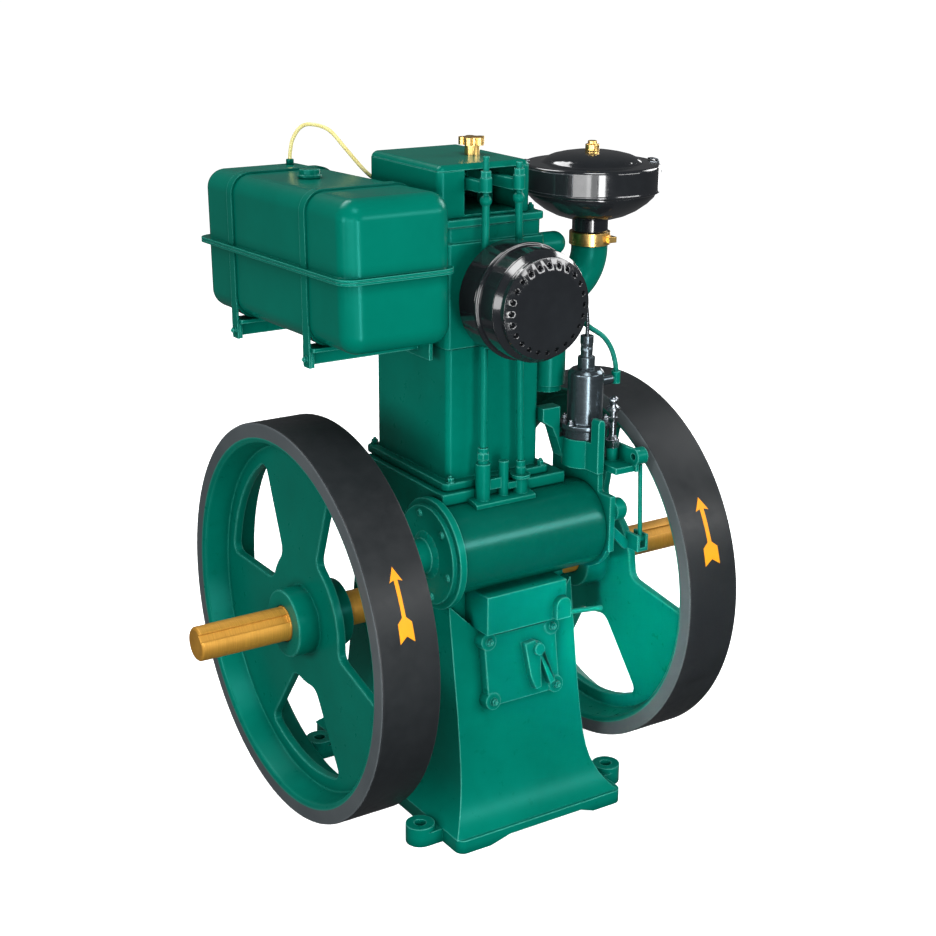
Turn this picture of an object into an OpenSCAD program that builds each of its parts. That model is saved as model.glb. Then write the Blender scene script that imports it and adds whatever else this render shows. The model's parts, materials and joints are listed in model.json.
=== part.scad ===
// Stationary engine: one vertical water-cooled cylinder on a cast pedestal,
// with two outboard flywheels on one through crankshaft.
// Millimetres. +X runs along the crankshaft, -Y is the inspection-door side, +Z is up.
// The origin lies on the floor, under the crankshaft, midway between the wheels.

/* [Overall] */
// Height of the crankshaft axis above the floor
crank_z = 325; // [322:1:330]
// Offset of the pedestal centre along the crankshaft
base_cx = 5; // [4:1:8]

/* [Flywheels] */
// Outside diameter of each flywheel
wheel_d = 600; // [590:5:600]
// Width of the flywheel rim along the shaft
wheel_w = 92; // [88:1:94]
// Distance from the centre plane to a rim's inner face
wheel_in = 218; // [216:1:222]
// Radial width of the machined ring on the rim face
rim_t = 22; // [18:1:26]
// Thickness of the flywheel web
web_t = 14; // [12:1:18]
// Radius of the flywheel hub
hub_r = 51; // [46:1:56]
// Direction of the large window of the left wheel, from +Y towards +Z
window_dir = 153; // [140:1:160]
// Turn of the right wheel's windows against the left's
window_turn = -8; // [-12:1:0]

/* [Shaft] */
// Radius of the crankshaft
shaft_r = 25.4; // [25:0.1:26]
// Distance from the centre plane to a shaft end
shaft_end = 445; // [430:1:450]
// Running clearance on the radius in each main bearing
run_gap = 0.05; // [0.02:0.01:0.1]
// Width of the keyway along each shaft end
key_w = 12; // [10:1:14]

/* [Pedestal] */
// Half length of the bottom flange across the shaft
base_y = 230; // [220:1:240]
// Half width of the bottom flange along the shaft
base_x = 147.5; // [145:0.5:150]
// Half width of the pedestal body
ped_x = 110; // [108:1:112]
// Hole-to-hole distance of the feet along the shaft
foot_px = 347; // [340:1:350]
// Hole-to-hole distance of the feet across the shaft
foot_py = 320; // [310:1:330]
// Radius of a foundation bolt hole
foot_hole_r = 9; // [8:0.5:10]

/* [Cylinder and head] */
// Half width of the water jacket along the shaft
block_x = 80; // [78:1:82]
// Half width of the cylinder head along the shaft
head_x = 84; // [83:1:86]

/* [Hidden] */
$fn = 64;
cz = crank_z;
wi = wheel_in;
wo = wheel_in + wheel_w;
wr = wheel_d / 2;
wm = wheel_in + wheel_w / 2;
journal_r = shaft_r + 1;
eps = 0.01;

GREEN = [0.0, 0.40, 0.34];
BLACK = [0.10, 0.10, 0.12];
STEEL = [0.62, 0.63, 0.66];
BRASS = [0.85, 0.63, 0.25];
GOLD = [0.80, 0.55, 0.13];
YELLOW = [0.90, 0.85, 0.55];

// ---------- helpers ----------
// Box from two corners
module bx(x0, x1, y0, y1, z0, z1) translate([x0, y0, z0]) cube([x1 - x0, y1 - y0, z1 - z0]);
// Upright block with rounded vertical edges, from two corners
module rbx(x0, x1, y0, y1, z0, z1, r) {
    bx(x0 + r, x1 - r, y0, y1, z0, z1);
    bx(x0, x1, y0 + r, y1 - r, z0, z1);
    for (x = [x0 + r, x1 - r], y = [y0 + r, y1 - r]) translate([x, y, z0]) cylinder(r = r, h = z1 - z0);
}
// Block with every edge rounded, from two corners
module round_box(x0, x1, y0, y1, z0, z1, r) {
    bx(x0 + r, x1 - r, y0 + r, y1 - r, z0, z1);
    bx(x0, x1, y0 + r, y1 - r, z0 + r, z1 - r);
    bx(x0 + r, x1 - r, y0, y1, z0 + r, z1 - r);
    for (x = [x0 + r, x1 - r], y = [y0 + r, y1 - r]) {
        cv(x, y, z0 + r, z1 - r, r);
        for (z = [z0 + r, z1 - r]) translate([x, y, z]) sphere(r = r);
    }
    for (x = [x0 + r, x1 - r], z = [z0 + r, z1 - r]) cy(x, z, y1 - r, y0 + r, r);
    for (y = [y0 + r, y1 - r], z = [z0 + r, z1 - r]) cx(x0 + r, x1 - r, y, z, r);
}
// Cylinder along X from x0 to x1 on the axis (y, z)
module cx(x0, x1, y, z, r) translate([x0, y, z]) rotate([0, 90, 0]) cylinder(r = r, h = x1 - x0);
// Cylinder along -Y from y0 down to y1 on the axis (x, z)
module cy(x, z, y0, y1, r) translate([x, y0, z]) rotate([90, 0, 0]) cylinder(r = r, h = y0 - y1);
// Upright cylinder
module cv(x, y, z0, z1, r) translate([x, y, z0]) cylinder(r = r, h = z1 - z0);
// Round bar between two points
module bar(a, b, r) {
    d = b - a; l = norm(d);
    translate(a) rotate([0, acos(d[2] / l), atan2(d[1], d[0])]) cylinder(r = r, h = l, $fn = 24);
}
// Corner curve a-b-c as n+1 points
function bez(a, c, b, n) = [for (i = [0:n]) let (t = i / n) (1 - t) * (1 - t) * a + 2 * t * (1 - t) * c + t * t * b];
function unit(v) = v / norm(v);
// Catmull-Rom point on a route
function crp(p, i, t) = let (n = len(p) - 1, a = p[max(i - 1, 0)], b = p[i], c = p[min(i + 1, n)], d = p[min(i + 2, n)])
    0.5 * ((2 * b) + (c - a) * t + (2 * a - 5 * b + 4 * c - d) * t * t + (3 * b - a - 3 * c + d) * t * t * t);
function smooth(p, k) = concat([for (i = [0:len(p) - 2], j = [0:k - 1]) crp(p, i, j / k)], [p[len(p) - 1]]);
function tang(p, i) = unit(p[min(i + 1, len(p) - 1)] - p[max(i - 1, 0)]);
// Frame carried along the route
function side(t, u) = unit(u - (u * t) * t);
function frames(p, i = 0, u = [0.3, 0.5, 0.8], acc = []) = i == len(p) ? acc :
    let (t = tang(p, i), s = side(t, u)) frames(p, i + 1, s, concat(acc, [[s, cross(t, s)]]));
// Tube swept along a route with m sides
module sweep(p, r, m = 10) {
    fr = frames(p);
    n = len(p);
    pts = [for (i = [0:n - 1], j = [0:m - 1]) p[i] + r * (cos(j * 360 / m) * fr[i][0] + sin(j * 360 / m) * fr[i][1])];
    polyhedron(points = pts, faces = concat([[for (j = [0:m - 1]) j]], [[for (j = [0:m - 1]) (n - 1) * m + m - 1 - j]],
        [for (i = [0:n - 2], j = [0:m - 1]) [i * m + j, (i + 1) * m + j, (i + 1) * m + (j + 1) % m, i * m + (j + 1) % m]]), convexity = 10);
}

// ---------- crankcase ----------
ped_top = 362;
function flare_x(z) = ped_x + (z < 180 ? (base_x - ped_x) * exp(-(max(z, 22) - 22) / 36) : 0);
function flare_y(z) = 138 + (ped_top - z) * 0.155 + (z < 180 ? (base_y - 196) * exp(-(max(z, 22) - 22) / 30) : 0);
ped_z = [22, 28, 36, 46, 58, 72, 90, 115, 150, 200, 250, 300, ped_top];
module ped_profile(half) polygon(concat([for (z = ped_z) [half ? flare_x(z) : flare_y(z), z]], [for (i = [len(ped_z) - 1:-1:0]) [-(half ? flare_x(ped_z[i]) : flare_y(ped_z[i])), ped_z[i]]]));

cam_y = -117;
cam_z = cz + 112;
cam_r = 67;

hood_x0 = -64; hood_x1 = 77; hood_z0 = cz - 9; hood_z1 = cz + 51; hood_y = -180;

module base_pedestal() color(GREEN) difference() {
    union() {
        intersection() {
            translate([base_cx, 0, 0]) rotate([90, 0, 0]) linear_extrude(height = 600, center = true) ped_profile(true);
            rotate([90, 0, 90]) linear_extrude(height = 600, center = true) ped_profile(false);
        }
        translate([base_cx + 1, 0, 0]) rbx(-base_x, base_x + 6, -base_y, base_y, 0, 22 + eps, 14);
        for (sx = [-1, 1], sy = [-1, 1]) translate([base_cx + 1 + sx * foot_px / 2, sy * foot_py / 2, 0]) {
            cylinder(r = 22, h = 30);
            bx(sx > 0 ? -40 : 0, sx > 0 ? 0 : 40, -22, 22, 0, 22);
        }
    }
    // underside relieved between the corner pads
    rotate([90, 0, 0]) linear_extrude(height = 600, center = true) polygon([[-86, -1], [-86, 0], [-52, 9], [80, 9], [104, 0], [104, -1]]);
    // seat of the cam housing
    cx(-300, 300, cam_y, cam_z, cam_r);
    // notch for the hood, open towards the front
    rotate([90, 0, 0]) translate([0, 0, 118]) linear_extrude(height = 90) polygon([[hood_x0, hood_z0], [hood_x1, hood_z0], [base_cx + ped_x + 1, cz + 34], [base_cx + ped_x + 1, cz + 50], [base_cx - ped_x - 1, cz + 50], [base_cx - ped_x - 1, cz + 34]]);
    // shaft tunnel
    cx(-300, 300, 0, cz, shaft_r + 9);
    for (sx = [-1, 1], sy = [-1, 1]) translate([base_cx + 1 + sx * foot_px / 2, sy * foot_py / 2, -1]) cylinder(r = foot_hole_r, h = 40);
}
module crankcase_upper() color(GREEN) difference() {
    bx(base_cx - ped_x + 2, base_cx + ped_x, cam_y, 112, ped_top, cz + 197);
    cx(-300, 300, cam_y, cam_z, cam_r);
}
// Inspection door lying on the battered wall
door_a = atan(0.155);
module on_wall(z) { translate([0, -flare_y(z), z]) rotate([-door_a, 0, 0]) children(); }
module door_plate() {
    bx(-64, 64, -18, 0, -54, 54);
    for (sx = [-1, 1], sz = [-1, 1]) cy(sx * 57, sz * 46, 0, -20, 13);
}
module crankcase_door() color(GREEN) on_wall(cz - 74) translate([4, 0, 0]) {
    door_plate();
    // pull lug: a boss over two ribs
    cy(22, 20, -17, -36, 9);
    translate([22, -17, 20]) rotate([90, 0, 0]) linear_extrude(height = 13) polygon([[-22, 12], [-4, 14], [8, 8], [28, -56], [18, -60], [4, -16], [2, -60], [-8, -62], [-16, -40]]);
}
module rear_door() color(GREEN) mirror([0, 1, 0]) on_wall(cz - 74) translate([4, 0, 0]) {
    door_plate();
    cy(0, 0, -17, -30, 10);
}
module breather_hood() color(GREEN) difference() {
    union() {
        bx(hood_x0, hood_x1, hood_y, -118, hood_z0, hood_z1);
        // pivot lug of the control rod
        bx(52, 78, hood_y - 12, hood_y + eps, cz - 6, cz + 15);
        cy(65, cz + 15, hood_y + eps, hood_y - 12, 13);
    }
    cx(-300, 300, cam_y, cam_z, cam_r);
}
module main_bearing(s) color(GREEN) {
    x0 = s > 0 ? base_cx + ped_x : -(base_cx - ped_x);
    mirror([s > 0 ? 0 : 1, 0, 0]) difference() {
        union() {
            cx(x0, x0 + 13, 0, cz, 92);
            cx(x0, 152, 0, cz, 62);
            for (a = [30:60:330]) cx(x0, x0 + 22, 78 * cos(a), cz + 78 * sin(a), 9);
        }
        cx(x0 - 10, 200, 0, cz, journal_r + run_gap);
        cx(-300, 300, cam_y, cam_z, 86);
    }
}
module main_bearings() { main_bearing(-1); main_bearing(1); }
gov_x = 147;
module cam_housing() color(GREEN) cx(-112, gov_x, cam_y, cam_z, cam_r);
module cam_cover() color(GREEN) {
    cx(-124, -112, cam_y, cam_z, 83);
    cx(-131, -124 + eps, cam_y, cam_z, 74);
    translate([-131 + eps, cam_y, cam_z]) rotate([0, -90, 0]) cylinder(r1 = 36, r2 = 26, h = 5);
    cx(-178, -136 + 2 * eps, cam_y, cam_z, 25);
    for (a = [15:60:315]) cx(-134.5, -131 + eps, cam_y + 62 * cos(a), cam_z + 62 * sin(a), 5);
}
gov_y = -178; gov_z = cz + 145;
module governor_plate() color(GREEN) {
    cx(gov_x, gov_x + 10, cam_y, cam_z, 72);
    bx(gov_x, gov_x + 10, cam_y - 40, cam_y + 78, cam_z, cz + 204);
    bx(gov_x, gov_x + 10, cam_y - 72, cam_y + 10, cam_z - 30, cz + 170);
    cx(gov_x + 10 - eps, 174, gov_y, gov_z, 17);
    translate([174 - eps, gov_y, gov_z]) rotate([0, 90, 0]) cylinder(r1 = 17, r2 = 12, h = 5);
    cx(gov_x + 10 - eps, 166, cam_y, cam_z, 34);
}
// ---------- cylinder, head, valve gear ----------
blk_y0 = -94; blk_y1 = 112;
blk_z0 = cz + 197; blk_z1 = cz + 405;
head_z1 = cz + 589;
module cylinder_block() color(GREEN) {
    rbx(-93, 93, blk_y0 - 14, blk_y1 + 14, blk_z0, blk_z0 + 12, 10);
    rbx(-block_x, block_x, blk_y0, blk_y1, blk_z0 + 12 - eps, blk_z1, 9);
}
module cylinder_head() color(GREEN) {
    rbx(-head_x, head_x, blk_y0 - 3, blk_y1 - 8, blk_z1, cz + 556, 9);
    rbx(-head_x + 4, head_x - 4, blk_y0 + 2, blk_y1 - 12, cz + 556 - eps, cz + 578, 9);
    rbx(-head_x - 3, head_x, blk_y0 - 1, blk_y1 - 8, cz + 578 - eps, head_z1, 9);
}
box_x0 = -89; box_x1 = 66; box_y0 = -84; box_y1 = 113; box_z1 = cz + 655;
module rocker_box() color(GREEN) difference() {
    rbx(box_x0, box_x1, box_y0, box_y1, head_z1, box_z1, lid_r);
    rbx(box_x0 + 6, box_x1 - 6, box_y0 + 6, box_y1 - 6, head_z1 - 1, box_z1 + 1, 5);
    bx(-47, 50, box_y0 - 1, box_y0 + 10, head_z1 + 4, box_z1 + 1);
}
lid_z1 = cz + 663;
lid_r = 11;
module rocker_lid() color(GREEN) intersection() {
    round_box(box_x0, box_x1, box_y0, box_y1, cz + 600, lid_z1, lid_r);
    bx(-200, 200, -200, 200, box_z1, cz + 700);
}
knob_p = [19, 0];
module lid_knob() color(BRASS) translate([knob_p[0], knob_p[1], lid_z1]) {
    cylinder(r = 11, h = 14);
    translate([0, 0, 14 - eps]) { cylinder(r = 14, h = 11); for (a = [0:72:288]) rotate(a) translate([14, 0, 0]) cylinder(r = 6, h = 11); }
}
rod_y = -125;
rodl_x = -39; rodr_x0 = 27; rodr_x1 = 16;
module rocker_gear() color(GREEN) {
    // rocker shaft and its two stands
    cx(-62, 52, 6, cz + 625, 9);
    for (x = [-60, 40]) bx(x, x + 12, -6, 18, head_z1, cz + 628);
    for (x = [rodl_x, rodr_x1]) {
        cx(x - 11, x + 11, 6, cz + 625, 15);
        bx(x - 6, x + 6, rod_y + 6, 6, cz + 628, cz + 644);
        bx(x - 6, x + 6, 6, 58, cz + 620, cz + 634);
        // arm end, lock nut and adjusting screw
        cv(x, rod_y, cz + 630, cz + 650, 8.5);
        translate([x, rod_y, cz + 650 - eps]) cylinder(r = 8, h = 9, $fn = 6);
        cv(x, rod_y, cz + 659 - 2 * eps, x < 0 ? cz + 679 : cz + 668, 4.5);
        cv(x, 54, head_z1, cz + 620, 8);
    }
}
module pushrods() color(GREEN) difference() {
    union() {
        bar([rodl_x, rod_y, cz + 262], [rodl_x, rod_y, cz + 616], 5.5);
        bar([rodr_x0 + 0.3, rod_y, cz + 222], [rodr_x1, rod_y, cz + 618], 5.5);
        // ball and cup under each arm
        for (x = [rodl_x, rodr_x1]) { translate([x, rod_y, cz + 618]) sphere(r = 8.5); cv(x, rod_y, cz + 618, cz + 630, 4.5); }
    }
    bx(0, 60, -160, -90, cz + 200, cz + 232);
}
module tappet_block() color(GREEN) difference() {
    union() {
        // curved pad on the cam housing
        intersection() { cx(-60, 44, cam_y, cam_z, cam_r + 6); bx(-60, 44, -142, blk_y0 - 14, cz + 150, cz + 200); }
        cv(rodl_x, rod_y, cz + 170, cz + 238, 11);
        cv(rodl_x, rod_y, cz + 238 - eps, cz + 244, 8);
        translate([rodl_x, rod_y, cz + 244 - 2 * eps]) cylinder(r = 9.5, h = 10, $fn = 6);
        cv(rodl_x, rod_y, cz + 254 - 3 * eps, cz + 262, 7.5);
        cv(rodr_x0, rod_y, cz + 170, cz + 206, 11);
        cv(rodr_x0, rod_y, cz + 206 - eps, cz + 211, 15);
        cv(rodr_x0, rod_y, cz + 211 - 2 * eps, cz + 222, 8);
        cv(rodr_x0, rod_y, cz + 222 - eps, cz + 232, 7);
        // locating stud and oil branch between the guides
        cv(-3, rod_y, cz + 170, cz + 236, 7.5);
        bx(-3, rodr_x0, rod_y - 5, rod_y + 5, cz + 192, cz + 202);
        bx(rodl_x, -3, rod_y - 4, rod_y + 4, cz + 196, cz + 212);
    }
    cx(-300, 300, cam_y, cam_z, cam_r);
    bx(-200, 200, cam_y, 0, cz + 100, blk_z0);
    bx(-200, 200, blk_y0 - 14, 0, cz + 100, cz + 300);
}

// ---------- fuel tank ----------
tx0 = -282; tx1 = -114; ty0 = -168; ty1 = 278; tz0 = cz + 428; tz1 = cz + 636; tzs = cz + 531; tr = 28;
// The tank slopes down a little towards the rear
tank_tilt = -1.6;
module tank_frame() translate([0, 50, tzs]) rotate([tank_tilt, 0, 0]) translate([0, -50, -tzs]) children();
module tank_body() round_box(tx0, tx1, ty0, ty1, tz0, tz1, tr);
// Cross-section of the tank grown by g, along Y
module tank_slice(y, w, g) {
    bx(tx0 + tr, tx1 - tr, y - w, y + w, tz0 - g, tz1 + g);
    bx(tx0 - g, tx1 + g, y - w, y + w, tz0 + tr, tz1 - tr);
    for (x = [tx0 + tr, tx1 - tr], z = [tz0 + tr, tz1 - tr]) cy(x, z, y + w, y - w, tr + g);
}
module fuel_tank_upper() color(GREEN) tank_frame() {
    intersection() { tank_body(); bx(-400, 0, -300, 400, tzs, cz + 700); }
    rbx(tx0 - 9, tx1 + 2, ty0 - 8, ty1 + 9, tzs, tzs + 4, 24);
}
module fuel_tank_lower() color(GREEN) tank_frame() {
    intersection() { tank_body(); bx(-400, 0, -300, 400, cz + 400, tzs); }
    rbx(tx0 - 9, tx1 + 2, ty0 - 8, ty1 + 9, tzs - 4, tzs, 24);
}
cap_p = [-204, 76];
nip_p = [-152, 240];
module tank_cap() color(GREEN) tank_frame() {
    cv(cap_p[0], cap_p[1], tz1, tz1 + 5, 17);
    cv(cap_p[0], cap_p[1], tz1 + 5 - eps, tz1 + 13, 15);
    cv(nip_p[0], nip_p[1], tz1, tz1 + 8, 6);
}
strap_y = [-52, 176];
module strap(y) difference() {
    tank_slice(y, 8, 3);
    tank_slice(y, 9, 0);
    bx(tx0 - 20, tx1 + 20, y - 20, y + 20, tzs - 4, tzs + 4);
}
module tank_straps() color(GREEN) tank_frame() for (y = strap_y) {
    strap(y);
    // tail of the strap, bolted to the end of its bracket
    bx(tx0 - 3, tx0, y - 9, y + 9, tz0 - 32, tz0 + tr);
}
module tank_bracket() color(GREEN) difference() {
    union() {
        tank_frame() for (y = strap_y) {
            bx(tx0, -96, y - 17, y + 17, tz0 - 9, tz0 - 3);
            bx(tx0, -96, y + 11, y + 17, tz0 - 32, tz0 - 9 + eps);
            bx(tx0, tx0 + 5, y - 9, y + 12, tz0 - 32, tz0 - 9 + eps);
        }
        bx(-100, -94, -76, 196, cz + 388, cz + 420);
    }
    bx(-100 + 6, 0, -300, 300, cz + 300, cz + 500);
    bx(-101, 0, -300, 300, cz + 421, cz + 500);
}
leak_route = [[-152, 243, cz + 639], [-151, 243, cz + 650], [-148, 240, cz + 668], [-140, 230, cz + 686], [-130, 214, cz + 692], [-116, 184, cz + 686], [-102, 162, cz + 662], [-88, 134, cz + 634], [-70, 130, cz + 618], [-46, 132, cz + 612], [-32, 132, cz + 606], [-30, 132, cz + 600], [-30, 132, cz + 596]];
module leak_off_pipe() color(YELLOW) sweep(smooth(leak_route, 4), 3, 10);

// ---------- exhaust ----------
sil_x = -6.5; sil_z = cz + 483;
module silencer_body() color(BLACK) {
    cy(sil_x, sil_z, -132, -175 - eps, 81);
    // seam bead
    cy(sil_x, sil_z, -175, -180, 83.5);
    cy(sil_x, sil_z, -180 + eps, -214, 79);
}
sil_hole_r = 60.5;
module silencer_cap() color(BLACK) difference() {
    union() {
        translate([sil_x, -214, sil_z]) rotate([90, 0, 0]) cylinder(r1 = 79, r2 = 71, h = 8);
        cy(sil_x, sil_z, -222 + eps, -230, 71);
        translate([sil_x, -230 + eps, sil_z]) rotate([90, 0, 0]) cylinder(r1 = 70, r2 = 52, h = 7);
    }
    for (i = [0:23]) translate([sil_x + sil_hole_r * cos(i * 15), -226, sil_z + sil_hole_r * sin(i * 15)]) rotate([90, 0, 0]) cylinder(r = 3.4, h = 20);
}
module exhaust_neck() color(BLACK) { cy(-9, sil_z, blk_y0 - 3, -132, 19); }

// ---------- intake ----------
ac_x = 198; ac_y = -50;
module intake_elbow() color(GREEN) {
    elb = 63;
    translate([ac_x - elb, ac_y, cz + 518]) rotate([90, 0, 0]) mirror([0, 1, 0]) rotate_extrude(angle = 90) translate([elb, 0]) circle(r = 27.5);
    cv(ac_x, ac_y, cz + 518 - eps, cz + 524, 27.5);
    cx(head_x + 10, ac_x - elb + eps, ac_y, cz + 518 - elb, 27.5);
    cx(head_x, head_x + 10, ac_y, cz + 518 - elb, 38);
}
module hose_clamp() color(BRASS) {
    cv(ac_x, ac_y, cz + 524, cz + 543, 31);
    bx(ac_x + 8, ac_x + 22, ac_y - 38, ac_y - 24, cz + 529, cz + 538);
}
module air_cleaner_bowl() color(BLACK) translate([ac_x, ac_y, cz]) {
    cv(0, 0, 543, 566, 27);
    rotate_extrude($fn = 96) polygon([[0, 564], [38, 564], [54, 569], [70, 577], [85, 588], [94, 597], [97, 604], [0, 604]]);
}
module air_cleaner_cover() color(BLACK) translate([ac_x, ac_y, cz]) {
    // flat shoulder, then a raised dome
    rotate_extrude($fn = 96) polygon([[0, 604], [101, 604], [103.5, 607], [102, 610], [102, 642], [99, 645], [76, 646], [72, 648.5], [67, 652.5], [60, 655.5], [48, 658.5], [34, 661], [18, 662], [0, 662]]);
}
module air_cleaner_nut() color(BRASS) translate([ac_x, ac_y, cz + 662]) { cylinder(r = 10.5, h = 10); translate([0, 0, 10 - eps]) cylinder(r = 7, h = 5); }
module port_cover() color(GREEN) {
    cx(head_x, head_x + 8, ac_y + 4, cz + 530, 30);
    cx(head_x + 8 - eps, head_x + 50, ac_y + 4, cz + 530, 18);
    translate([head_x + 50, ac_y + 4, cz + 530]) sphere(r = 18);
}

// ---------- fuel system ----------
pp_x = 150; pp_y = -115;
module fuel_filter() color(GREEN) {
    cv(117, -62, cz + 322, cz + 414, 27);
    cv(117, -62, cz + 312, cz + 322 + eps, 22);
    bx(block_x, 100, -74, -50, cz + 360, cz + 400);
}
module fuel_pump() color(BLACK) {
    cv(pp_x, pp_y, cz + 270 - eps, cz + 346, 27);
    translate([pp_x, pp_y, cz + 346 - 2 * eps]) cylinder(r1 = 27, r2 = 22, h = 6);
    cv(pp_x, pp_y, cz + 262, cz + 270, 38);
    cv(pp_x, pp_y, cz + 248, cz + 262 + eps, 34);
    // inlet boss towards the banjo
    cx(pp_x, 195, -118, cz + 330, 8);
}
module delivery_valve() color(STEEL) {
    cv(pp_x, pp_y, cz + 352, cz + 370, 13);
    cv(pp_x, pp_y, cz + 370 - eps, cz + 390, 9);
    cv(pp_x, pp_y, cz + 390 - eps, cz + 402, 10);
}
module pump_bracket() color(GREEN) difference() {
    union() {
        cv(pp_x, pp_y, cz + 196, cz + 248, 34);
        // arm to the column
        rotate([90, 0, 0]) translate([0, 0, 84]) linear_extrude(height = 22) polygon([[block_x, cz + 296], [112, cz + 296], [150, cz + 248], [150, cz + 215], [118, cz + 215], [108, cz + 242], [98, cz + 264], [block_x, cz + 276]]);
        // front rib
        bx(132, 144, -174, -130, cz + 198, cz + 248);
        translate([0, -156, 0]) rotate([90, 0, 0]) linear_extrude(height = 18) polygon([[132, cz + 248 - eps], [144, cz + 248 - eps], [144, cz + 281], [141, cz + 286], [135, cz + 286], [132, cz + 281]]);
        bx(150, 190, -196, -140, cz + 206, cz + 216);
        bx(184, 190, -200, -150, cz + 206, cz + 240);
        // lever ring
        cx(184, 203, -192, cz + 228, 13);
        // boss under the bleed fitting
        cv(173, -155, cz + 216 - eps, cz + 236, 9);
    }
    cx(-300, 300, cam_y, cam_z, cam_r);
    bx(0, gov_x + 10, -260, -20, cz, cz + 204);
    bx(0, 93, -300, 300, cz, cz + 209);
    bx(0, block_x, -300, 300, cz, cz + 500);
    cx(180, 210, -192, cz + 228, 5);
    cv(pp_x, pp_y, cz + 248, cz + 300, 40);
}
module fuel_pipe() color(GREEN) {
    sweep(smooth([[126, -72, cz + 414.4], [126, -72, cz + 419], [130, -76, cz + 428], [144, -92, cz + 426], [162, -108, cz + 410], [180, -116, cz + 396], [194, -118, cz + 376], [202, -118, cz + 354], [204, -118, cz + 341]], 4), 4, 10);
    // banjo joint on the side of the pump
    cv(204, -118, cz + 322, cz + 341 + eps, 7);
    cx(195, 204, -118, cz + 330, 5);
}
module injector_pipe() color(STEEL) sweep(smooth([[150, -115, cz + 402], [150, -115, cz + 424], [147, -113, cz + 450], [134, -110, cz + 476], [116, -106, cz + 494], [103, -92, cz + 501], [100, -60, cz + 502], [100, 20, cz + 504], [100, 80, cz + 512], [94, 112, cz + 524], [74, 130, cz + 544], [40, 134, cz + 562], [10, 134, cz + 577], [-12, 132, cz + 580], [-19, 132, cz + 580]], 3), 3, 8);
module injector() color(STEEL) difference() {
    union() {
        cv(-30, 132, cz + 560, cz + 596, 8);
        cv(-30, 132, cz + 572, cz + 588, 11);
        bar([-30, 134, cz + 566], [-30, 90, cz + 510], 12);
    }
    rbx(-head_x, head_x, blk_y0 - 3, blk_y1 - 8, blk_z1, cz + 600, 9);
}

// ---------- governor and control ----------
module governor_levers() color(GREEN) {
    bar([197, -194, cz + 215], [197, -200, cz + 102], 3.5);
    // fork round the foot of the rod, on a lever out of the governor plate
    cx(187, 207, -200, cz + 98, 4.5);
    for (x = [187, 202]) bx(x, x + 5, -208, -178, cz + 82, cz + 106);
    bx(187, 207, -208, -178, cz + 80, cz + 86);
    translate([0, -178, 0]) rotate([90, 0, 0]) linear_extrude(height = 7) polygon([[gov_x + 10, cz + 104], [gov_x + 10, cz + 122], [188, cz + 92], [188, cz + 80], [180, cz + 80]]);
}
module control_rod() color(GREEN) {
    bar([78.5, -188, cz + 1], [138, -188, cz - 6], 4);
}
module bleed_fitting() color(STEEL) translate([173, -155, cz]) {
    translate([0, 0, 236]) cylinder(r = 11.5, h = 12, $fn = 6);
    translate([0, 0, 248 - eps]) cylinder(r1 = 9, r2 = 6, h = 6);
    translate([0, 0, 254 - 2 * eps]) cylinder(r = 5.5, h = 40);
    translate([0, 0, 276]) cylinder(r = 8, h = 7, $fn = 6);
    translate([0, 0, 293]) cylinder(r = 10, h = 5);
    translate([0, 0, 298 - eps]) cylinder(r1 = 8, r2 = 4, h = 5);
    translate([0, 0, 308]) sphere(r = 7);
}

// ---------- rotating assembly ----------
module crankshaft() color(GOLD) difference() {
    union() {
        cx(-shaft_end + 3, shaft_end - 3, 0, cz, shaft_r);
        cx(-wo + 5, wo - 5, 0, cz, journal_r);
        translate([-shaft_end, 0, cz]) rotate([0, 90, 0]) cylinder(r1 = shaft_r - 3, r2 = shaft_r, h = 3);
        translate([shaft_end - 3, 0, cz]) rotate([0, 90, 0]) cylinder(r1 = shaft_r, r2 = shaft_r - 3, h = 3);
    }
    for (s = [-1, 1]) translate([0, 0, cz]) rotate([-40, 0, 0]) bx(s > 0 ? wo - 4 : -500, s > 0 ? 500 : -wo + 4, -shaft_r - 5, -shaft_r + 5, -key_w / 2, key_w / 2);
}
// Window outline in the web plane, centred on direction 0
function pol(r, a) = [r * cos(a), r * sin(a)];
function window(ri, ro, ai, ao, c) = let (
    il = pol(ri, -ai), ir = pol(ri, ai), ol = pol(ro, -ao), or_ = pol(ro, ao),
    dl = unit(ol - il), dr = unit(or_ - ir), ki = c / ri * 57.3, ko = c / ro * 57.3)
    concat(bez(pol(ri, -ai + ki), il, il + c * dl, 5), bez(ol - c * dl, ol, pol(ro, -ao + ko), 5),
        [for (i = [1:6]) pol(ro, -ao + ko + (2 * ao - 2 * ko) * i / 7)],
        bez(pol(ro, ao - ko), or_, or_ - c * dr, 5), bez(ir + c * dr, ir, pol(ri, ai - ki), 5),
        [for (i = [1:4]) pol(ri, ai - ki - (2 * ai - 2 * ki) * i / 5)]);
// Wheel about X, centred on its own mid-plane, outer face towards +X
module wheel(turn) difference() {
    union() {
        rotate([0, 90, 0]) rotate_extrude($fn = 128) polygon([[hub_r - 8, -web_t / 2], [wr - 38, -web_t / 2], [wr - 30, -wheel_w / 2 + 3], [wr - rim_t, -wheel_w / 2], [wr, -wheel_w / 2],
            [wr, wheel_w / 2], [wr - rim_t, wheel_w / 2], [wr - 30, wheel_w / 2 - 3], [wr - 38, web_t / 2], [hub_r - 8, web_t / 2]]);
        cx(-wheel_w / 2 - 4 + 0, wheel_w / 2 - 5, 0, 0, hub_r);
    }
    cx(-100, 100, 0, 0, journal_r);
    for (w = [[0, 41, 42], [119, 17.5, 27], [-119, 17.5, 27]]) rotate([turn + w[0], 0, 0]) rotate([90, 0, 90]) linear_extrude(height = web_t + 6, center = true) polygon(window(105, 241, w[1], w[2], 17));
}
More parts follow.
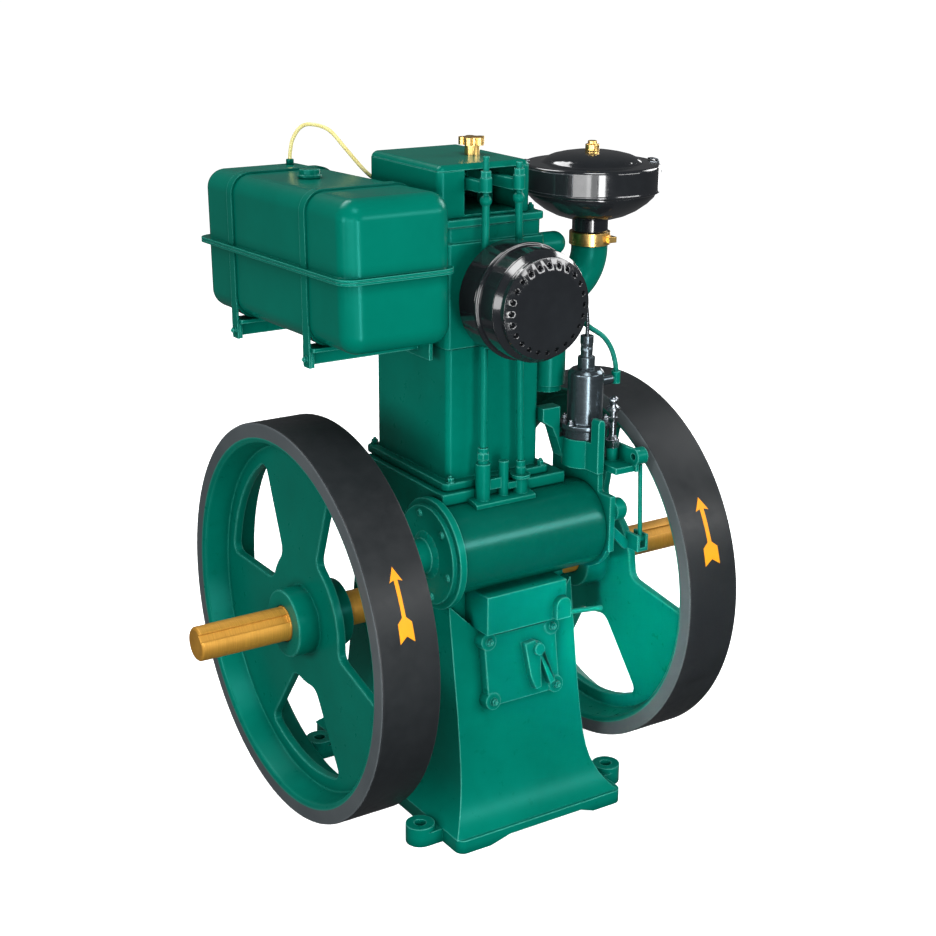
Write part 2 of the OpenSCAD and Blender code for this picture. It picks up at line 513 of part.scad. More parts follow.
module flywheel_left() color(GREEN) translate([-wm, 0, cz]) mirror([1, 0, 0]) wheel(window_dir);
module flywheel_right() color(GREEN) translate([wm, 0, cz]) wheel(window_dir + window_turn);

base_pedestal();
crankcase_upper();
crankcase_door();
rear_door();
breather_hood();
main_bearings();
cam_housing();
cam_cover();
governor_plate();
cylinder_block();
cylinder_head();
rocker_box();
rocker_lid();
lid_knob();
rocker_gear();
pushrods();
tappet_block();
fuel_tank_upper();
fuel_tank_lower();
tank_cap();
tank_straps();
tank_bracket();
leak_off_pipe();
silencer_body();
silencer_cap();
exhaust_neck();
intake_elbow();
hose_clamp();
air_cleaner_bowl();
air_cleaner_cover();
air_cleaner_nut();
port_cover();
fuel_filter();
fuel_pump();
delivery_valve();
pump_bracket();
fuel_pipe();
injector_pipe();
injector();
governor_levers();
control_rod();
bleed_fitting();
crankshaft();
flywheel_left();
flywheel_right();
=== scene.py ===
# Looks of the stationary engine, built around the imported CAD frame. Metres.
import bpy
import bmesh
import json
import math
from mathutils import Matrix, Vector
from mathutils.bvhtree import BVHTree


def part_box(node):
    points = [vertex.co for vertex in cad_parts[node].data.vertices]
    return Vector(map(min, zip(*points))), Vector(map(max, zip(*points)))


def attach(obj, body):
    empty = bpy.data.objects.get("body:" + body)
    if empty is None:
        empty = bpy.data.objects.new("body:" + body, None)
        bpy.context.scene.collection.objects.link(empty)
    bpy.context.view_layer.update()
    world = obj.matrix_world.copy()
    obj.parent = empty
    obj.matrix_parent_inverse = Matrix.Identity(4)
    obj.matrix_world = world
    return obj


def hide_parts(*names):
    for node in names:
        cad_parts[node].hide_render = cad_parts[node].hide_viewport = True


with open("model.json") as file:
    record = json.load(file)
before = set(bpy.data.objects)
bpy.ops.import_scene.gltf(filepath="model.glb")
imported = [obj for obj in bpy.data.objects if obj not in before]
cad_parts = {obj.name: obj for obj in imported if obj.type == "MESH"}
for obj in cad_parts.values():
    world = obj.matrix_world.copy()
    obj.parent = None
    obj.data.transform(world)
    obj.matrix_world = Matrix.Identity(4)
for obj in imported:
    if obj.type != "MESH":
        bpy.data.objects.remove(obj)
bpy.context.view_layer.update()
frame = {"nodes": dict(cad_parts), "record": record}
NODES = frame["nodes"]
CZ = 0.325  # crankshaft height
MM = 0.001

# ------------------------------------------------------------------ materials


def srgb(r, g, b):
    def f(c):
        c /= 255.0
        return c / 12.92 if c <= 0.04045 else ((c + 0.055) / 1.055) ** 2.4
    return (f(r), f(g), f(b), 1.0)


def new_mat(name):
    m = bpy.data.materials.new(name)
    m.use_nodes = True
    nt = m.node_tree
    return m, nt, nt.nodes["Principled BSDF"]


def node(nt, kind, **kw):
    n = nt.nodes.new(kind)
    for k, v in kw.items():
        setattr(n, k, v)
    return n


def noise(nt, scale, detail=4.0, rough=0.55, distort=0.0, coords=None, stretch=None):
    n = node(nt, "ShaderNodeTexNoise")
    n.inputs["Scale"].default_value = scale
    n.inputs["Detail"].default_value = detail
    n.inputs["Roughness"].default_value = rough
    n.inputs["Distortion"].default_value = distort
    src = coords or obj_coords(nt)
    if stretch:
        mp = node(nt, "ShaderNodeMapping")
        mp.inputs["Scale"].default_value = stretch
        nt.links.new(src, mp.inputs["Vector"])
        src = mp.outputs["Vector"]
    nt.links.new(src, n.inputs["Vector"])
    return n.outputs["Fac"]


def obj_coords(nt):
    for n in nt.nodes:
        if n.type == "TEX_COORD":
            return n.outputs["Object"]
    return node(nt, "ShaderNodeTexCoord").outputs["Object"]


def scaled(nt, fac, lo, hi, a=0.3, b=0.7):
    m = node(nt, "ShaderNodeMapRange")
    m.inputs["From Min"].default_value = a
    m.inputs["From Max"].default_value = b
    m.inputs["To Min"].default_value = lo
    m.inputs["To Max"].default_value = hi
    nt.links.new(fac, m.inputs["Value"])
    return m.outputs["Result"]


def mix_col(nt, fac, a, b, blend="MIX"):
    m = node(nt, "ShaderNodeMix", data_type="RGBA", blend_type=blend)
    for sock, v in (("Factor", fac), ("A", a), ("B", b)):
        s = [i for i in m.inputs if i.name == sock and (i.type == "RGBA" or sock == "Factor" and i.type == "VALUE")][0]
        if isinstance(v, (int, float)):
            s.default_value = v
        elif isinstance(v, tuple):
            s.default_value = v
        else:
            nt.links.new(v, s)
    return [o for o in m.outputs if o.type == "RGBA"][0]


def bump(nt, bsdf, layers, bevel=None):
    """layers is [(height socket, distance, strength)], finest last."""
    last = None
    if bevel:
        bv = node(nt, "ShaderNodeBevel", samples=4)
        bv.inputs["Radius"].default_value = bevel
        last = bv.outputs["Normal"]
    for h, dist, strength in layers:
        b = node(nt, "ShaderNodeBump")
        b.inputs["Distance"].default_value = dist
        b.inputs["Strength"].default_value = strength
        nt.links.new(h, b.inputs["Height"])
        if last is not None:
            nt.links.new(last, b.inputs["Normal"])
        last = b.outputs["Normal"]
    if last is not None:
        nt.links.new(last, bsdf.inputs["Normal"])


def lean(nt, radius):
    """0 on a flat face, up to 1 where the surface turns within radius."""
    bv = node(nt, "ShaderNodeBevel", samples=4)
    bv.inputs["Radius"].default_value = radius
    geo = node(nt, "ShaderNodeNewGeometry")
    dot = node(nt, "ShaderNodeVectorMath", operation="DOT_PRODUCT")
    nt.links.new(bv.outputs["Normal"], dot.inputs[0])
    nt.links.new(geo.outputs["True Normal"], dot.inputs[1])
    return scaled(nt, dot.outputs["Value"], 1.0, 0.0, 0.80, 0.99)


def corners(nt, distance):
    """1 in the open, less in a corner or a seam; the mask of the painted shade, and it keeps the painted highlight off
    concave edges.
    """
    ao = node(nt, "ShaderNodeAmbientOcclusion", samples=4)
    ao.inputs["Distance"].default_value = distance
    return ao.outputs["AO"]


def times(nt, a, b):
    m = node(nt, "ShaderNodeMath", operation="MULTIPLY", use_clamp=True)
    for s, v in ((0, a), (1, b)):
        if isinstance(v, (int, float)):
            m.inputs[s].default_value = v
        else:
            nt.links.new(v, m.inputs[s])
    return m.outputs[0]


def enamel(name, base, deep, light, rough=(0.22, 0.34), spec=0.35, coat=0.0, cast=0.00025, bevel=0.0012, casting=True,
           tint=(1.0, 1.0, 1.0, 1.0), edge_highlight=None, dark=None, rim=0.0020):
    """Gloss paint brushed over cast iron: slight pooling of colour, a painted highlight along the edges, painted shade
    in the corners, orange peel and the casting's own grain."""
    m, nt, p = new_mat(name)
    broad = noise(nt, 7.0, 3.0)
    mid = noise(nt, 60.0, 5.0, 0.6)
    col = mix_col(nt, scaled(nt, broad, 0.0, 1.0), base, deep)
    col = mix_col(nt, scaled(nt, mid, 0.0, 0.14, 0.40, 0.80), col, light)
    if edge_highlight or dark:
        shut = corners(nt, 0.016)
        # Painted shade: the colour darkens towards the dark colour where ambient occlusion finds a corner, crease or
        # seam.
        if dark:
            col = mix_col(nt, scaled(nt, shut, 0.85, 0.0, 0.35, 0.95), col, dark)
        if edge_highlight:
            # Painted highlight: along convex edges the colour lightens towards the edge colour, where the bevel normal
            # leaves the face normal and occlusion is low.
            edge_highlight_mask = times(nt, lean(nt, rim), scaled(nt, shut, 0.0, 0.85, 0.80, 0.97))
            col = mix_col(nt, times(nt, edge_highlight_mask, scaled(nt, mid, 0.6, 1.0)), col, edge_highlight)
    nt.links.new(col, p.inputs["Base Color"])
    nt.links.new(scaled(nt, mid, rough[0], rough[1]), p.inputs["Roughness"])
    p.inputs["Specular IOR Level"].default_value = spec
    p.inputs["Specular Tint"].default_value = tint
    p.inputs["Coat Weight"].default_value = coat
    p.inputs["Coat Roughness"].default_value = 0.08
    layers = [(noise(nt, 40.0, 2.0, 0.4), 0.0003, 0.06)] if casting else []
    layers += [(noise(nt, 420.0, 3.0, 0.6), cast, 0.14)]
    bump(nt, p, layers, bevel)
    return m


def metal(name, base, dark, rough, grain=(1.0, 1.0, 40.0), scale=60.0, bevel=0.0006, strength=0.07, metallic=1.0):
    m, nt, p = new_mat(name)
    g = noise(nt, scale, 4.0, 0.6, stretch=grain)
    spots = noise(nt, 45.0, 5.0, 0.65)
    col = mix_col(nt, scaled(nt, g, 0.0, 1.0, 0.35, 0.65), base, dark)
    nt.links.new(col, p.inputs["Base Color"])
    nt.links.new(scaled(nt, spots, rough[0], rough[1]), p.inputs["Roughness"])
    p.inputs["Metallic"].default_value = metallic
    bump(nt, p, [(g, 0.0001, strength)], bevel)
    return m


SEA = (0.15, 1.0, 0.95, 1.0)
# PALE is the colour of the painted highlight along convex edges, SHADE the colour of the painted shade in corners and
# seams; the green enamels below take both.
PALE, SHADE = srgb(104, 204, 190), srgb(0, 44, 35)
GREEN = enamel("enamel_green", srgb(0, 104, 88), srgb(0, 94, 79), srgb(0, 116, 101), rough=(0.27, 0.31), spec=0.16,
               tint=SEA, edge_highlight=PALE, dark=SHADE, rim=0.0030)
# A darker copy of the green enamel for the cam barrel: its lower base colour is painted shade.
GREEN_BARREL = enamel("enamel_green_barrel_darker", srgb(0, 80, 67), srgb(0, 73, 61), srgb(0, 88, 74), rough=(0.20, 0.27),
                      spec=0.34, tint=(0.30, 1.0, 0.98, 1.0), edge_highlight=PALE, dark=SHADE, rim=0.0025)
GREEN_SHEET = enamel("enamel_green_sheet", srgb(0, 99, 83), srgb(0, 92, 77), srgb(0, 107, 91), rough=(0.22, 0.26),
                     spec=0.16, casting=False, cast=0.0001, tint=SEA, edge_highlight=PALE, dark=SHADE)
BLACK = enamel("enamel_black", srgb(27, 30, 33), srgb(20, 22, 25), srgb(36, 40, 44), rough=(0.10, 0.18), spec=0.5,
               coat=0.6, casting=False, cast=0.00006)
# The band's light edge colour is a painted highlight along its edges.
BAND = enamel("enamel_black_band", srgb(30, 33, 36), srgb(22, 24, 27), srgb(40, 44, 48), rough=(0.12, 0.2), spec=0.5,
              coat=0.6, casting=False, cast=0.00006, bevel=0.0006, edge_highlight=srgb(150, 158, 164))
# The light edge colours of both rim paints are painted highlights along the rim's edges.
RIM_DARK = enamel("rim_dark_paint", srgb(30, 33, 35), srgb(22, 25, 27), srgb(40, 43, 46), rough=(0.34, 0.46), spec=0.22,
                  casting=False, cast=0.00012, edge_highlight=srgb(88, 92, 96))
RIM_GREY = enamel("rim_grey_paint", srgb(78, 84, 86), srgb(66, 72, 75), srgb(92, 98, 101), rough=(0.34, 0.46),
                  spec=0.2, casting=False, cast=0.00012, edge_highlight=srgb(128, 134, 138))
ORANGE = enamel("arrow_orange_paint", srgb(226, 146, 18), srgb(214, 134, 14), srgb(236, 160, 44), rough=(0.4, 0.5),
                spec=0.2, casting=False, cast=0.0001, bevel=None)
STEEL = metal("steel_plated", srgb(150, 156, 162), srgb(104, 110, 116), (0.20, 0.34))
PUMP = metal("pump_dark_steel", srgb(92, 104, 110), srgb(70, 80, 86), (0.22, 0.27), scale=40.0, strength=0.04, metallic=0.85)
BRASS = metal("brass_bright", srgb(232, 196, 124), srgb(204, 164, 92), (0.24, 0.36))
GOLD = metal("shaft_gold_lacquer", srgb(200, 148, 58), srgb(176, 126, 44), (0.42, 0.54), grain=(60.0, 1.0, 1.0), scale=30.0, strength=0.2, metallic=0.55)
NYLON, nt, p = new_mat("nylon_yellow")
nt.links.new(mix_col(nt, scaled(nt, noise(nt, 90.0), 0.0, 1.0), srgb(236, 226, 160), srgb(222, 208, 134)), p.inputs["Base Color"])
p.inputs["Roughness"].default_value = 0.35
p.inputs["Subsurface Weight"].default_value = 0.25
p.inputs["Subsurface Radius"].default_value = (0.003, 0.003, 0.002)
bump(nt, p, [(noise(nt, 500.0), 0.00005, 0.2)])

SHEET_NODES = {"fuel_tank_upper", "fuel_tank_lower", "tank_straps", "tank_cap", "rocker_box", "rocker_lid", "fuel_filter"}
SLOT_MAT = {"enamel_green": GREEN, "enamel_black": BLACK, "steel": STEEL, "brass": BRASS, "shaft_gold": GOLD,
            "nylon_yellow": NYLON}
slot_of = {s["node"]: s["material_slot"] for s in frame["record"]["subparts"]}
body_of = {}
for b, names in frame["record"]["behaviour"]["bodies"].items():
    for n in names:
        body_of[n] = b


def mat_of(name):
    if name in SHEET_NODES:
        return GREEN_SHEET
    if name == "cam_housing":
        # The barrel takes the darker copy of the green, painted shade.
        return GREEN_BARREL
    if name in ("fuel_pump", "delivery_valve"):
        return PUMP
    return SLOT_MAT[slot_of[name]]


# ------------------------------------------------------------------ pieces


def finish_piece(obj, name, body, mats):
    obj.data.materials.clear()
    for m in mats:
        obj.data.materials.append(m)
    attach(obj, body)


def shade(me, angle=30.0):
    me.polygons.foreach_set("use_smooth", [True] * len(me.polygons))
    me.set_sharp_from_angle(angle=math.radians(angle))


def flat_faces(obj):
    """Large faces keep their own normals, so only the rounded edges between them are shaded round."""
    m = obj.modifiers.new("weighted_normals", "WEIGHTED_NORMAL")
    m.mode = "FACE_AREA"
    m.weight = 60
    m.keep_sharp = True


def self_hits(bm):
    bm.faces.ensure_lookup_table()
    t = BVHTree.FromBMesh(bm, epsilon=0.0)
    n = 0
    for a, b in t.overlap(t):
        if a < b:
            va = {v.index for v in bm.faces[a].verts}
            if not va.intersection(v.index for v in bm.faces[b].verts):
                n += 1
    return n


def clean_copy(name):
    bm = bmesh.new()
    bm.from_mesh(NODES[name].data)
    bmesh.ops.remove_doubles(bm, verts=bm.verts, dist=8e-5)
    bmesh.ops.dissolve_limit(bm, angle_limit=math.radians(1.0), verts=bm.verts, edges=bm.edges)
    return bm


TOUCH = {"base_pedestal": 60, "crankcase_door": 24, "pump_bracket": 30, "rocker_gear": 24, "silencer_cap": 16,
         "tank_bracket": 16, "governor_levers": 16, "lid_knob": 40, "governor_plate": 6, "injector": 12, "tappet_block": 24,
         "crankshaft": 8, "rear_door": 14, "breather_hood": 8}


def soften(name, width, angle=28.0, seg=2):
    """A copy of a CAD node with its hard edges rounded. It stands for the node."""
    src = clean_copy(name)
    src.verts.index_update()
    lo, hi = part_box(name)
    base_hits = self_hits(src)
    v0 = abs(src.calc_volume())
    used = None
    for w in (width, width * 0.6, width * 0.35, width * 0.2):
        bm = src.copy()
        edges = [e for e in bm.edges if e.is_manifold and e.calc_face_angle(0.0) > math.radians(angle)]
        bmesh.ops.bevel(bm, geom=edges, offset=w, offset_type="OFFSET", segments=seg, profile=0.5, affect="EDGES",
                        clamp_overlap=False, miter_outer="SHARP", miter_inner="SHARP")
        bmesh.ops.remove_doubles(bm, verts=bm.verts, dist=1e-6)
        bm.verts.index_update()
        xs = [v.co for v in bm.verts]
        inside = all(min(c[i] for c in xs) >= lo[i] - 1.2e-4 and max(c[i] for c in xs) <= hi[i] + 1.2e-4 for i in range(3))
        v1 = abs(bm.calc_volume())
        hits = self_hits(bm)
        ok = inside and 0.93 * v0 < v1 < 1.03 * v0 and hits <= base_hits + TOUCH.get(name, 0)
        if ok:
            used = w
            break
        bm.free()
    if used is None:
        print("SOFTEN kept sharp:", name, "hits", hits, "inside", inside, "vol", round(v1 / v0, 3))
        src.free()
        return None
    if used != width:
        print("SOFTEN reduced:", name, round(used * 1000, 2), "mm")
    src.free()
    me = bpy.data.meshes.new(name + "_soft")
    bm.to_mesh(me)
    bm.free()
    shade(me)
    obj = bpy.data.objects.new(name + "_cast", me)
    bpy.context.scene.collection.objects.link(obj)
    flat_faces(obj)
    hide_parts(name)
    finish_piece(obj, name, body_of[name], [mat_of(name)])
    return obj


WIDTH = {"base_pedestal": 3.0, "crankcase_upper": 2.5, "cylinder_block": 2.5, "cylinder_head": 2.0, "crankcase_door": 2.0,
         "rear_door": 2.0, "breather_hood": 2.5, "main_bearings": 2.0, "cam_housing": 2.5, "cam_cover": 2.0,
         "governor_plate": 2.0, "rocker_box": 1.2, "rocker_lid": 0.6, "lid_knob": 1.6, "rocker_gear": 1.0, "pushrods": 0.8,
         "tappet_block": 1.6, "tank_cap": 1.2, "tank_straps": 0.8, "tank_bracket": 1.0, "silencer_body": 2.0,
         "silencer_cap": 1.0, "exhaust_neck": 1.0, "intake_elbow": 2.0, "hose_clamp": 0.8, "air_cleaner_bowl": 2.5,
         "air_cleaner_cover": 3.0, "air_cleaner_nut": 1.0, "port_cover": 1.5, "fuel_filter": 2.0, "fuel_pump": 1.5,
         "delivery_valve": 0.8, "pump_bracket": 1.6, "injector": 0.8, "governor_levers": 1.0, "control_rod": 1.0,
         "bleed_fitting": 0.8, "crankshaft": 1.5, "flywheel_left": 3.0, "flywheel_right": 3.0, "fuel_tank_upper": 0.8,
         "fuel_tank_lower": 0.8}
SOFT = {}
for name, o in NODES.items():
    made = soften(name, WIDTH[name] * MM) if name in WIDTH else None
    if made is not None:
        SOFT[name] = made
    else:
        o.data.materials.clear()
        o.data.materials.append(mat_of(name))

# Flywheels: dark rim, grey rim faces, green web and hub
for name in ("flywheel_left", "flywheel_right"):
    o = SOFT.get(name) or NODES[name]
    if name in SOFT:
        me = o.data
        me.materials.clear()
        for m in (GREEN, RIM_DARK, RIM_GREY):
            me.materials.append(m)
        for v in me.vertices:
            d = Vector((0, v.co.y, v.co.z - CZ))
            r = d.length
            if r > 0.2996:
                d *= 0.2998 / r
                v.co.y, v.co.z = d.y, d.z + CZ
        for p_ in me.polygons:
            rs = [math.hypot(me.vertices[i].co.y, me.vertices[i].co.z - CZ) for i in p_.vertices]
            if min(rs) > 0.2965 and abs(p_.normal.x) < 0.75:
                p_.material_index = 1
            elif min(rs) > 0.2765:
                p_.material_index = 2


def arrow(name, x0, grow):
    """A painted arrow on a rim's outer face, from 14 to 34 degrees above the shaft, pointing up."""
    half = [(0, 104), (11, 83), (3.2, 86), (3.2, 35), (12, 27), (12.5, 0), (0, 9)]
    pts = half + [(-u, v) for u, v in reversed(half[1:-1])]
    bm = bmesh.new()
    bm.faces.new([bm.verts.new((u, v, 0)) for u, v in pts])
    for k in range(1, 21):
        bmesh.ops.bisect_plane(bm, geom=bm.verts[:] + bm.edges[:] + bm.faces[:], plane_co=(0, 5.2 * k, 0), plane_no=(0, 1, 0))
    out = bmesh.ops.extrude_face_region(bm, geom=bm.faces[:])
    for v in out["geom"]:
        if isinstance(v, bmesh.types.BMVert):
            v.co.z = 1.0
    bmesh.ops.recalc_face_normals(bm, faces=bm.faces)
    for v in bm.verts:
        r = 0.30012 if v.co.z > 0.5 else 0.2990
        a = math.radians(13.9) + v.co.y * MM / 0.3
        v.co = Vector((x0 + v.co.x * MM * grow, -r * math.cos(a), CZ + r * math.sin(a)))
    bmesh.ops.recalc_face_normals(bm, faces=bm.faces)
    me = bpy.data.meshes.new(name)
    bm.to_mesh(me)
    bm.free()
    shade(me, 40)
    o = bpy.data.objects.new(name, me)
    bpy.context.scene.collection.objects.link(o)
    finish_piece(o, name, "crank_and_flywheels", [ORANGE])


arrow("arrow_left", -0.2650, 0.9)
arrow("arrow_right", 0.2650, 1.1)

# ------------------------------------------------------------------ small fastenings


def turned(bm, at, to, profile, sides=16, turn=0.0):
    """A closed turned shape from (radius, height) pairs in mm, standing at a point along a direction."""
    rot = Vector(to).normalized().to_track_quat("Z", "Y").to_matrix()
    at = Vector(at) * MM
    rings = []
    for r, h in profile:
        rings.append([bm.verts.new(at + rot @ Vector((r * MM * math.cos(turn + 2 * math.pi * k / sides),
                                                      r * MM * math.sin(turn + 2 * math.pi * k / sides), h * MM)))
                      for k in range(sides)])
    for a, b in zip(rings, rings[1:]):
        for k in range(sides):
            bm.faces.new((a[k], a[(k + 1) % sides], b[(k + 1) % sides], b[k]))
    bm.faces.new(rings[0][::-1])
    bm.faces.new(rings[-1])


def hexnut(bm, at, to, r, h, stud=0.0, turn=0.3):
    """A washer, a hexagon nut with a chamfered crown, and the end of its stud."""
    turned(bm, at, to, [(r * 1.25, -0.4), (r * 1.25, 1.0), (r * 1.18, 1.4)], 20)
    turned(bm, at, to, [(r, 1.2), (r, h * 0.86), (r * 0.84, h)], 6, turn)
    if stud:
        turned(bm, at, to, [(r * 0.5, h - 0.4), (r * 0.5, h + stud - 1.0), (r * 0.36, h + stud)], 14)


def piece_from(bm, name, body, mat, angle=35):
    bmesh.ops.recalc_face_normals(bm, faces=bm.faces)
    me = bpy.data.meshes.new(name)
    bm.to_mesh(me)
    bm.free()
    shade(me, angle)
    o = bpy.data.objects.new(name, me)
    bpy.context.scene.collection.objects.link(o)
    finish_piece(o, name, body, [mat])
    return o


CZM = 325.0
bm = bmesh.new()
for x in (-80, 80):
    for y in (-101, 119):
        hexnut(bm, (x, y, CZM + 209), (0, 0, 1), 5.4, 7, 3, 0.2 + x * 0.01)
for y in (-70, -10, 50):
    hexnut(bm, (74.5, y, CZM + 589), (0, 0, 1), 5.2, 7, 3, 0.1 * y)
wall = math.atan(0.155)
for side_y in (-1, 1):
    n = Vector((0, side_y * math.cos(wall), math.sin(wall)))
    up = Vector((0, -side_y * math.sin(wall), math.cos(wall)))
    foot = Vector((4, side_y * (138 + (362 - 251) * 0.155), 251))
    for sx in (-1, 1):
        for sz in (-1, 1):
            at = foot + Vector((sx * 57, 0, 0)) + up * (sz * 46) + n * 20
            hexnut(bm, at, n, 5.2, 6, 3, 0.4 + sx * sz * 0.3)
for a in range(5):
    t_ = math.radians(36 + 72 * a)
    hexnut(bm, (157, -117 + 44 * math.cos(t_), CZM + 112 + 44 * math.sin(t_)), (1, 0, 0), 4.6, 5, 2, 0.5 * a)
for y, z in ((-152, 160), (-108, 186), (-60, 186)):
    hexnut(bm, (157, y, CZM + z), (1, 0, 0), 4.6, 5, 2, 0.2 * y)
for y in (-72, -20):
    hexnut(bm, (95, y, CZM + 530), (1, 0, 0), 4.2, 5, 2)
tilt = math.radians(-1.6)
for y in (-52, 176):
    for dz in (-20,):
        yy, zz = y - 50, dz + 428 - 531
        at = (-285, 50 + yy * math.cos(tilt) - zz * math.sin(tilt), CZM + 531 + yy * math.sin(tilt) + zz * math.cos(tilt))
        hexnut(bm, at, (-1, 0, 0), 4.4, 5, 2, 0.1)
piece_from(bm, "green_nuts", "engine", GREEN)

# Studs of the pump flange and the unions of the delivery valve
bm = bmesh.new()
for a in (-95, -20, 120, 195):
    t_ = math.radians(a)
    hexnut(bm, (150 + 33 * math.cos(t_), -115 + 33 * math.sin(t_), CZM + 270), (0, 0, 1), 4.0, 5, 3, 0.4)
piece_from(bm, "pump_studs", "engine", STEEL)

bm = bmesh.new()
PV = (150, -115, CZM)
turned(bm, PV, (0, 0, 1), [(12.6, 352), (12.9, 353), (12.9, 364), (11.5, 366)], 6, 0.25)
turned(bm, PV, (0, 0, 1), [(9.2, 365.5), (9.2, 372), (8.0, 373), (8.0, 377), (9.4, 378), (9.4, 384), (8.0, 386.5)], 28)
turned(bm, PV, (0, 0, 1), [(9.0, 386), (10.0, 387), (10.0, 397), (8.8, 398.5)], 6, 0.1)
turned(bm, PV, (0, 0, 1), [(7.0, 398), (6.2, 400), (4.5, 402)], 24)
o = piece_from(bm, "delivery_valve_unions", "engine", PUMP)
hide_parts("delivery_valve")

# Spring clips that hold the air cleaner's cover
bm = bmesh.new()
for az_deg in (-123, 75):
    a = math.radians(az_deg)
    out = Vector((math.sin(a), -math.cos(a), 0))
    across = Vector((-out.y, out.x, 0))
    route = [(92, 647.2), (99, 647.6), (103.6, 646.6), (105.4, 643), (105.6, 626), (107.6, 617), (108.6, 611), (107.0, 605), (103.0, 601.4), (98, 600.4)]
    pts = [Vector((r, z)) for r, z in route]
    rings = []
    for k, p_ in enumerate(pts):
        d = (pts[min(k + 1, len(pts) - 1)] - pts[max(k - 1, 0)]).normalized()
        nrm = Vector((-d.y, d.x))
        ring = []
        for s, w in ((1, 1), (1, -1), (-1, -1), (-1, 1)):
            q_ = p_ + nrm * (0.9 * s)
            ring.append(bm.verts.new((Vector((198, -50, CZM + q_.y)) + out * q_.x + across * (5.5 * w)) * MM))
        rings.append(ring)
    for r0, r1 in zip(rings, rings[1:]):
        for k in range(4):
            bm.faces.new((r0[k], r0[(k + 1) % 4], r1[(k + 1) % 4], r1[k]))
    bm.faces.new(rings[0][::-1])
    bm.faces.new(rings[-1])
    mid_at = Vector((198, -50, CZM)) + out * 106.5
    turned(bm, mid_at + Vector((0, 0, 629)) - across * 9, across, [(2.6, 0), (3.0, 0.6), (3.0, 17.4), (2.6, 18)], 14)
piece_from(bm, "air_cleaner_clips", "engine", STEEL, 50)

bm = bmesh.new()
rings = []
for k in range(41):
    a = math.radians(-52 - 3.2 * k)
    out = Vector((math.sin(a), -math.cos(a), 0))
    ring = []
    for r, z in ((101.4, 609.2), (102.9, 609.2), (103.3, 609.8), (103.3, 640.2), (102.9, 640.8), (101.4, 640.8)):
        ring.append(bm.verts.new((Vector((198, -50, CZM + z)) + out * r) * MM))
    rings.append(ring)
for r0, r1 in zip(rings, rings[1:]):
    for k in range(6):
        bm.faces.new((r0[k], r0[(k + 1) % 6], r1[(k + 1) % 6], r1[k]))
bm.faces.new(rings[0][::-1])
bm.faces.new(rings[-1])
piece_from(bm, "air_cleaner_band", "engine", BAND, 25)

# ------------------------------------------------------------------ floor, light, camera


def link(name, data):
    o = bpy.data.objects.new(name, data)
    bpy.context.scene.collection.objects.link(o)
    return o


bm = bmesh.new()
bmesh.ops.create_grid(bm, x_segments=4, y_segments=4, size=60.0)
me = bpy.data.meshes.new("floor")
bm.to_mesh(me)
bm.free()
floor = link("floor", me)
floor.location = (0, 0, -0.0005)
FLOOR, nt, p = new_mat("floor_pale")
nt.links.new(mix_col(nt, scaled(nt, noise(nt, 1.5), 0.0, 1.0), srgb(236, 238, 238), srgb(233, 235, 235)), p.inputs["Base Color"])
p.inputs["Roughness"].default_value = 0.9
p.inputs["Specular IOR Level"].default_value = 0.0
p.inputs["Emission Color"].default_value = (1.0, 1.0, 1.0, 1.0)
p.inputs["Emission Strength"].default_value = 0.97
me.materials.append(FLOOR)
floor.visible_diffuse = False
floor.visible_glossy = False

bm = bmesh.new()
bmesh.ops.create_uvsphere(bm, u_segments=48, v_segments=24, radius=58.0)
me = bpy.data.meshes.new("backdrop")
bm.to_mesh(me)
bm.free()
backdrop = link("backdrop", me)
BACKDROP, nt, p = new_mat("backdrop_pale")
p.inputs["Base Color"].default_value = (0.0, 0.0, 0.0, 1.0)
p.inputs["Specular IOR Level"].default_value = 0.0
p.inputs["Emission Color"].default_value = (1.0, 1.0, 1.0, 1.0)
p.inputs["Emission Strength"].default_value = 1.2
me.materials.append(BACKDROP)
backdrop.visible_diffuse = False
backdrop.visible_glossy = False
backdrop.visible_transmission = False
backdrop.visible_shadow = False

world = bpy.data.worlds.new("studio")
bpy.context.scene.world = world
world.use_nodes = True
bg = world.node_tree.nodes["Background"]
bg.inputs["Color"].default_value = (0.95, 0.97, 1.0, 1.0)
bg.inputs["Strength"].default_value = 0.09


def area(name, loc, target, sx, sy, power, colour=(1, 1, 1)):
    d = bpy.data.lights.new(name, "AREA")
    d.shape = "RECTANGLE"
    d.size, d.size_y = sx, sy
    d.energy = power
    d.color = colour
    o = link(name, d)
    o.location = loc
    v = Vector(target) - Vector(loc)
    o.rotation_euler = v.to_track_quat("-Z", "Y").to_euler()
    return o


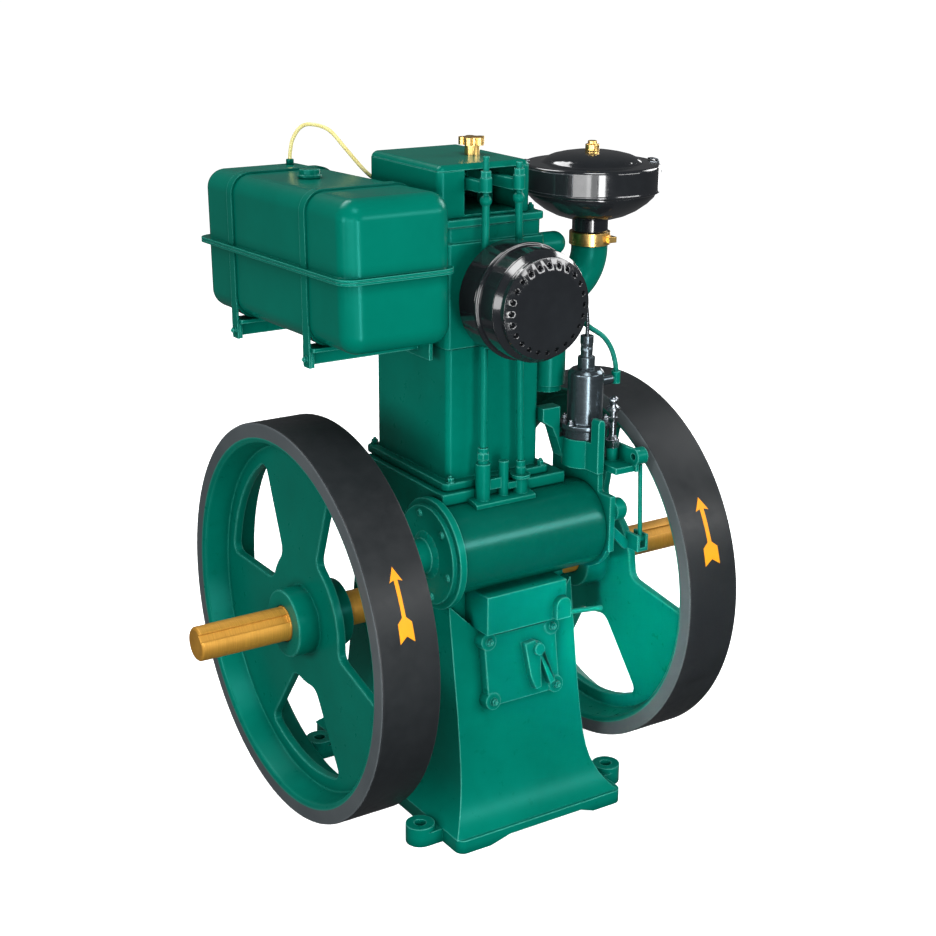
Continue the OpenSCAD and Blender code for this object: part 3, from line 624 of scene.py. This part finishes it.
def softbox(name, az_deg, el_deg, dist, width, height, power, z=0.55):
    a, e = math.radians(az_deg), math.radians(el_deg)
    d = Vector((math.sin(a) * math.cos(e), -math.cos(a) * math.cos(e), math.sin(e)))
    o = area(name, Vector((0, 0, z)) + d * dist, (0, 0, z), width, height, power)
    o.visible_camera = False
    return o


softbox("core_strip", -13, 0, 1.75, 0.32, 0.92, 18, z=0.48)
softbox("shoulder", -30, 2, 1.90, 0.60, 1.30, 6, z=0.78)
softbox("low_left", -50, 15, 2.5, 1.5, 0.8, 25, z=0.30)
softbox("key_high", -22, 58, 3.0, 1.2, 0.9, 40)
softbox("front_right", 31, 20, 2.6, 1.7, 0.50, 26, z=0.45)
web_lamp = softbox("right_wheel", -44, 12, 2.5, 0.16, 0.16, 0.5)
web_lamp.data.spread = math.radians(9)
web_lamp.rotation_euler = (Vector((0.29, -0.10, 0.22)) - web_lamp.location).to_track_quat("-Z", "Y").to_euler()
softbox("left_side", -80, 14, 2.8, 0.6, 0.8, 27, z=0.40)
softbox("right_fill", 88, 30, 3.4, 1.6, 1.4, 58, z=0.45)
softbox("back_fill", 200, 56, 3.6, 2.2, 1.4, 74, z=0.45)
softbox("back_right_fill", 118, 8, 3.4, 1.0, 1.2, 18, z=0.45)

cam_d = bpy.data.cameras.new("camera")
cam = link("camera", cam_d)
cam_d.sensor_fit = "HORIZONTAL"
cam_d.sensor_width = 36.0
cam_d.lens = 63.607
cam_d.clip_end = 200.0
az, el, roll = math.radians(-32.91), math.radians(18.50), math.radians(0.45)
target = Vector((0.0162, 0.0, 0.1852 + CZ))
back = Vector((math.sin(az) * math.cos(el), -math.cos(az) * math.cos(el), math.sin(el)))
cam.location = target + back * 2.5394
q = (-back).to_track_quat("-Z", "Y")
cam.rotation_euler = (q.to_matrix() @ Matrix.Rotation(roll, 3, "Z")).to_euler()
bpy.context.scene.camera = cam
sc = bpy.context.scene
sc.view_settings.view_transform = "Standard"
sc.view_settings.look = "None"

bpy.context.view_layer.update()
